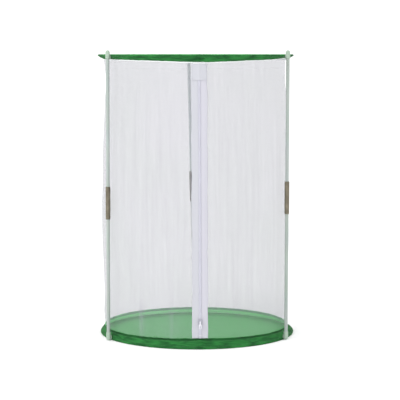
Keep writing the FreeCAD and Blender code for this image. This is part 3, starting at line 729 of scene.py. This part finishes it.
def binding_rows(radius, inner_radius, edge_height, lap, reach, side):
    """Rows of a narrow tape folded lengthwise over the upper (side 1) or lower (side -1) edge of a band. Each
    point of its outline has a step out, a step up and whether it is on the inside."""
    outline = (
        (0.0, -lap, 0), (0.0001, -lap / 2, 0), (0.0, 0, 0), (-0.0001, reach / 2, 0),
        (-0.0002, reach - 0.0004, 0), (-0.0004, reach, 0), (0.0001, reach - 0.0003, 1),
        (0, reach / 2, 1), (0, 0, 1), (0, -lap - 0.0005, 1),
    )
    rows = []
    for out, up, inside in outline:
        ring = inner_radius if inside else radius + 0.0002 * puckers(FULL_TURN, 9)
        rows.append(around(ring + out, FULL_TURN, edge_height + side * up))
    return np.stack(rows)[::side]


foot_rows = binding_rows(base_edge_radius + 0.0007, base_edge_radius - 0.0009, base_edge_height,
                         lap=0.0012, reach=0.0034, side=1)
foot_binding = cloth_piece("base_binding_tape", foot_rows, BAND_CLOTH, ring=True)
lined(foot_binding, polyester("folded green binding", "#1f5a2b", "#143f1e", 1.2, 0.8, 0.4), band_inside)
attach(foot_binding, "base")
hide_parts("base_binding")

# Top band: like the base band, folded round the upper hoop and sewn to the roof. It hangs lower at the front
# than at the poles, which pull it up, and it laps over the head of the zip.

HOOP_LEVEL, TOP_CHANNEL_LEVEL = 0.72, 0.7171
TOP_TURNS = (-3.2, -2.0, -1.5, -1.04, -0.745, -0.49, -0.27, 0.03, 0.28, 0.52, 0.86, 1.14, 1.5, 2.2, 3.2)
TOP_DROPS = (
    0.014, 0.0135, 0.012, 0.0125, 0.0139, 0.015, 0.0168, 0.0188,
    0.017, 0.0146, 0.0127, 0.0088, 0.011, 0.0135, 0.014,
)


def top_edge(turn):
    """The radius and height of the top band's free edge. The poles lift it and the zip pulls it down."""
    radius = by_angle(HEAD_TURNS, HEAD_RADII, turn) + 0.0017 + 0.0004 * puckers(turn, 6)
    return radius, HOOP_LEVEL - by_angle(TOP_TURNS, TOP_DROPS, turn) + 0.0005 * puckers(turn, 5)


top_radius, top_height = top_edge(FULL_TURN)
top_outside = np.maximum(0.2503 - 0.0022 * np.sin(FULL_TURN), 0.2494)
top_rows = band_rows(TOP_CHANNEL_LEVEL, top_outside, top_radius, top_height, -1, 2.0, 0.75)[::-1]
top_band = cloth_piece("top_band_cloth", top_rows, BAND_CLOTH, ring=True)
lined(top_band, band_green, band_inside)
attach(top_band, "top")
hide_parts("top_band")
for line, share in (("hoop", 0.40), ("edge", 0.07)):
    path, out = ring_of(top_rows, share)
    seam = stitches(f"top_band_{line}_stitches", path, out, *BAND_STITCH, closed=True)
    seam.data.materials.append(green_thread)
    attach(seam, "top")

BINDING_CLOTH = 0.0005
head_rows = binding_rows(top_radius - 0.0008, top_radius - 0.0017, top_height,
                         lap=0.0022, reach=0.0028, side=-1)
head_binding = cloth_piece("top_binding_tape", head_rows, BINDING_CLOTH, ring=True)
head_binding.data.materials.append(polyester("folded white binding", "#f0f1f3", "#e4e6e9", 1.2, 0.8, 0.3))
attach(head_binding, "top")
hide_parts("top_binding")

# Roof: a disc of the same net, sewn inside the upper hoop and sagging a few millimetres at its middle.

panel_low, panel_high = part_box("top_panel")
panel_radius = (panel_high.x - panel_low.x) / 2
roof_x = disc_x / floor_radius * panel_radius
roof_y = disc_y / floor_radius * panel_radius
sag = 0.0075 * (1 - reach**2) + 0.0006 * np.sin(9 * turn + 5 * reach) * reach * (1 - reach**6)
roof = single_cloth("roof_cloth", np.stack([roof_x, roof_y, panel_high.z - sag], 2))
# The roof's net has the same mid grey as the wall: painted shade.
roof.data.materials.append(net_finish("fine white nylon net, roof", NET_COVER, "#9b99a6", "#92959c"))
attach(roof, "top")
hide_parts("top_panel")

# Pockets: a short length of mint-white webbing folded into a cup for the pole's end, with a flat seam across
# its closed end, and a tab that is box-stitched to the hoop's channel.

POLE_RING = 0.257
POCKET_SEAT, BAND_FACE = 0.2507, 0.2502
CAP_RADIUS = 0.0048
TOP_TAB_LEVEL = 0.7175
POCKET_POINTS = 40
CUP_CLOTH, TAB_CLOTH = 0.0006, 0.0009
TAB_HALF_WIDTH, TAB_SEAM_HALF, TAB_SEAM_INSET = 0.0052, 0.0042, 0.0012
UPWARD = np.array([0.0, 0.0, 1.0])
# Each section of a cup has a level above the cap's middle, half a width and half a depth.
pocket_sections = (
    (-0.0063, 0.0032, 0.0009), (-0.0050, 0.0038, 0.0034), (-0.0030, 0.0046, 0.0049), (0.0000, 0.0052, 0.0053),
    (0.0045, 0.0052, 0.0053), (0.0090, 0.0053, 0.0053), (0.0125, 0.0054, 0.0054), (0.0138, 0.0055, 0.0054),
)


def mint_webbing():
    """Woven webbing, mint-white and matte, with bold ribs across a coarse weave."""
    made, tree, shader = finish_named("mint-white polypropylene webbing",
                                      Roughness=0.75, IOR=1.5, Sheen_Weight=0.2)
    place = add(tree, "UVMap", {"uv_map": "cloth"})
    threads = weave(tree, 1.3, 1.7)
    worn = add(tree, "TexNoise", {"Scale": 220.0, "Detail": 3.0}, {"Vector": place.outputs[0]})
    mixed = add(tree, "Math", {"operation": "MULTIPLY_ADD", 1: 0.4}, {0: worn.outputs["Fac"], 2: threads})
    tone = ramp(tree, mixed.outputs[0], linear("#93a996"), linear("#b5c6b7"))
    tree.links.new(tone, shader.inputs["Base Color"])
    relief(tree, shader, threads, 0.5, 0.0005)
    return made


webbing = mint_webbing()


def joined(name, *pieces):
    """One object of several meshes in the same frame."""
    bpy.ops.object.select_all(action="DESELECT")
    for piece in pieces:
        piece.select_set(True)
    bpy.context.view_layer.objects.active = pieces[0]
    bpy.ops.object.join()
    pieces[0].name = name
    pieces[0].data.name = name
    return pieces[0]


def pocket(name, turn, height, opens, seat_radius, tab_reach):
    """A pocket whose cup stands round the pole's end at that height and opens up or down."""
    angle = np.linspace(0, 2 * math.pi, POCKET_POINTS, endpoint=False)
    squared = 1 + 0.06 * np.cos(4 * angle)
    rows = []
    for level, half_width, half_depth in pocket_sections[::opens]:
        wide, deep = half_width * np.cos(angle) * squared, half_depth * np.sin(angle) * squared
        rows.append(np.stack([wide, deep, np.full(POCKET_POINTS, level * opens)], 1))
    rows = np.array(rows)
    gap = POLE_RING - seat_radius
    tab_x, tab_z = np.meshgrid(np.linspace(-TAB_HALF_WIDTH, TAB_HALF_WIDTH, 12), np.linspace(*tab_reach, 12))
    tab_y = gap - 0.0006 - 0.0004 * bell(tab_x, 0, 0.004)
    out = np.array([math.sin(turn), -math.cos(turn), 0.0])
    beside = np.array([math.cos(turn), math.sin(turn), 0.0])
    middle = height * UPWARD + out * POLE_RING

    def placed(local):
        return middle + local[..., :1] * beside - local[..., 1:2] * out + local[..., 2:] * UPWARD

    cup = cloth_piece(f"{name}_cup", placed(rows), CUP_CLOTH, ring=True)
    tab = cloth_piece(f"{name}_tab", placed(np.stack([tab_x, tab_y, tab_z], 2)), TAB_CLOTH)
    end_level = (pocket_sections[0][0] + 0.0009) * opens
    seam_path = placed(np.array([[-0.0034, -0.0032, end_level], [0.0034, -0.0032, end_level]]))
    low, high = tab_reach[0] + TAB_SEAM_INSET, tab_reach[1] - TAB_SEAM_INSET
    corners = ((-1, low), (1, low), (1, high), (-1, high), (-1, low))
    box = placed(np.array([[x * TAB_SEAM_HALF, gap - 0.0013, z] for x, z in corners]))
    seams = [
        stitches(f"{name}_end_seam", seam_path, [out] * 2, *POCKET_STITCH),
        stitches(f"{name}_box_seam", box, [out] * len(box), *POCKET_STITCH),
    ]
    for piece in (cup, tab):
        piece.data.materials.append(webbing)
    for piece in seams:
        piece.data.materials.append(white_thread)
    return joined(name, cup, tab, *seams)


for place in ("left", "right", "back"):
    ends = (("base", "base", 1, f"pole_{place}_tilt"), ("top", "top", -1, "collapse"))
    for level, body, opens, joint in ends:
        low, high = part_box(f"pole_{'foot' if opens > 0 else 'head'}_cap_{place}")
        height = low.z + CAP_RADIUS if opens > 0 else high.z - CAP_RADIUS
        turn = math.atan2((low.x + high.x) / 2, -(low.y + high.y) / 2)
        out = (math.sin(turn), -math.cos(turn), 0.0)
        rise = TOP_TAB_LEVEL - height
        reach = (-0.006, 0.006) if opens > 0 else (rise - 0.009, rise + 0.002)
        cup = pocket(f"{level}_pocket_{place}_webbing", turn, height, opens, POCKET_SEAT, reach)
        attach(cup, body)
        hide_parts(f"{level}_pocket_{place}")
        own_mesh(cup)

# Poles: pultruded glass-fibre rods in two lengths, a dull zinc-plated steel ferrule fast on the lower one,
# and a moulded cap pushed on each end. They stay as the frame gives them.


def fibreglass(name, colour, shade):
    """Pultruded glass fibre in grey-green resin: satin, with fine straight fibres along the rod."""
    made, tree, shader = finish_named(name, Roughness=0.36, IOR=1.55, Coat_Weight=0.15)
    place = add(tree, "TexCoord")
    fibres = streaks(tree, place.outputs["Object"], (1400.0, 1400.0, 9.0), Detail=5.0, Roughness=0.6)
    cloud = add(tree, "TexNoise", {"Scale": 18.0, "Detail": 3.0}, {"Vector": place.outputs["Object"]})
    tone = ramp(tree, fibres, linear(shade), linear(colour), 0.32, 0.68)
    clouded = add(tree, "Mix", {"data_type": "RGBA", "blend_type": "MULTIPLY", "Factor": 0.15},
                  {"A": tone, "B": cloud.outputs["Color"]})
    tree.links.new(clouded.outputs["Result"], shader.inputs["Base Color"])
    uneven_gloss(tree, shader, fibres, 0.28, 0.48)
    relief(tree, shader, fibres, 0.2, 0.0001)
    return made


def zinc_plate():
    """Dull zinc plate on steel tube: khaki-grey, brushed along the tube, darker where it has been handled."""
    made, tree, shader = finish_named("zinc-plated steel tube", Metallic=0.85, Roughness=0.5)
    place = add(tree, "TexCoord")
    lines = streaks(tree, place.outputs["Object"], (900.0, 900.0, 30.0), Detail=5.0, Roughness=0.7)
    handled = {"Scale": 60.0, "Detail": 6.0, "Roughness": 0.7}
    marks = add(tree, "TexNoise", handled, {"Vector": place.outputs["Object"]}).outputs["Fac"]
    blend = add(tree, "Math", {"operation": "MULTIPLY_ADD", 1: 0.5}, {0: lines, 2: marks}).outputs[0]
    tone = ramp(tree, blend, linear("#5b5649"), linear("#8d8675"), 0.45, 0.95)
    tree.links.new(tone, shader.inputs["Base Color"])
    uneven_gloss(tree, shader, marks, 0.4, 0.65)
    relief(tree, shader, blend, 0.3, 0.0001)
    return made


def moulded(name, colour, shade, grain_mm, roughness):
    """Injection-moulded plastic with a fine spark-eroded grain."""
    made, tree, shader = finish_named(name, Roughness=roughness, IOR=1.49)
    place = add(tree, "TexCoord")
    fine = {"Scale": 1000 / grain_mm, "Detail": 3.0}
    grain = add(tree, "TexNoise", fine, {"Vector": place.outputs["Object"]}).outputs["Fac"]
    tree.links.new(ramp(tree, grain, linear(shade), linear(colour)), shader.inputs["Base Color"])
    uneven_gloss(tree, shader, grain, roughness * 0.85, roughness * 1.2)
    relief(tree, shader, grain, 0.25, 0.0001)
    return made


rod_finish = fibreglass("pultruded glass fibre", "#b9c1bd", "#8d9b93")
# Painted light: the back pole's rods get a paler copy of the glass fibre, to offset the shade on their side
# that faces into the drum.
back_rod_painted_lighter = fibreglass("pultruded glass fibre, back pole painted lighter", "#e6ebe7", "#c6d0c9")
ferrule_finish = zinc_plate()
cap_finish = moulded("moulded polypropylene cap", "#5a625c", "#474e49", 0.6, 0.5)
for place in ("left", "right", "back"):
    for length in ("lower", "upper"):
        dress(f"pole_{length}_rod_{place}", back_rod_painted_lighter if place == "back" else rod_finish)
    dress(f"pole_ferrule_{place}", ferrule_finish)
    dress(f"pole_foot_cap_{place}", cap_finish)
    dress(f"pole_head_cap_{place}", cap_finish)

# Slider, puller and stop: the slider is die-cast and lacquered white, the puller and the stop are moulded.
# The frame's own solids stay, with their edges rounded as castings and mouldings have them.


def softened(node_name, radius):
    """Rounds a frame part's edges."""
    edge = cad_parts[node_name].modifiers.new("rounded edges", "BEVEL")
    edge.width = radius
    edge.segments = 3
    edge.limit_method = "ANGLE"
    edge.angle_limit = math.radians(40)
    edge.use_clamp_overlap = True


# Painted shade: the slider is coloured a mid grey, darker than its white lacquer, so that it reads as the
# dark eye round the puller's top.
dress("zip_slider", moulded("white lacquered die-cast zinc, greyed as painted shade", "#acacb7", "#9e9ea9", 0.5, 0.3))
dress("zip_puller", moulded("moulded white acetal", "#e2e2e8", "#d4d4dc", 0.7, 0.4))
dress("zip_bottom_stop", moulded("moulded white nylon", "#c8c8cf", "#bbbbc3", 0.6, 0.4))
softened("zip_slider", 0.00022)
softened("zip_puller", 0.00035)
softened("zip_bottom_stop", 0.0004)

# Ground, light and camera: a plain near-white floor, an even white sky for soft light, one large lamp high at
# the front left, and a camera that stands just above the top hoop and looks slightly down.

GROUND_EDGE, SKY_STRENGTH = 60.0, 1.2
corners = ((-1, -1), (1, -1), (1, 1), (-1, 1))
ground = mesh_piece("ground", [(x * GROUND_EDGE, y * GROUND_EDGE, 0) for x, y in corners], [(0, 1, 2, 3)])
near_white = (0.985, 0.985, 0.985, 1)
ground.data.materials.append(
    finish_named("matte white floor", Base_Color=near_white, Roughness=1.0, Specular_IOR_Level=0.0)[0]
)
ground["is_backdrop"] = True

sky = bpy.data.worlds.new("white sky")
sky.use_nodes = True
background = sky.node_tree.nodes["Background"]
background.inputs["Color"].default_value = (1.0, 1.0, 1.0, 1)
background.inputs["Strength"].default_value = SKY_STRENGTH
bpy.context.scene.world = sky


def soft_lamp(name, place, target, size, power):
    """A square soft lamp that faces the target."""
    data = bpy.data.lights.new(name, "AREA")
    data.size = size
    data.energy = power
    lamp = bpy.data.objects.new(name, data)
    direction = np.array(target) - np.array(place)
    lamp.location = place
    lamp.rotation_euler = (math.acos(-direction[2] / np.linalg.norm(direction)), 0,
                           math.atan2(direction[1], direction[0]) - math.pi / 2)
    bpy.context.scene.collection.objects.link(lamp)


soft_lamp("key lamp", (-2.3, -1.9, 2.1), (0, 0, 0.35), 1.4, 30.0)

CAMERA_DISTANCE, CAMERA_HEIGHT, CAMERA_TURN = 3.9, 0.7288, math.radians(-2.229)
CAMERA_PITCH, CAMERA_YAW = math.radians(5.641), math.radians(0.142)
LENS_MM, SENSOR_MM = 136.08, 36.0
camera_data = bpy.data.cameras.new("camera")
camera_data.sensor_width = SENSOR_MM
camera_data.lens = LENS_MM
camera = bpy.data.objects.new("camera", camera_data)
camera.location = (
    CAMERA_DISTANCE * math.sin(CAMERA_TURN), -CAMERA_DISTANCE * math.cos(CAMERA_TURN), CAMERA_HEIGHT
)
camera.rotation_euler = (math.pi / 2 - CAMERA_PITCH, 0, CAMERA_TURN - CAMERA_YAW)
bpy.context.scene.collection.objects.link(camera)
bpy.context.scene.camera = camera
bpy.context.scene.view_settings.view_transform = "Standard"

low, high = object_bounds()
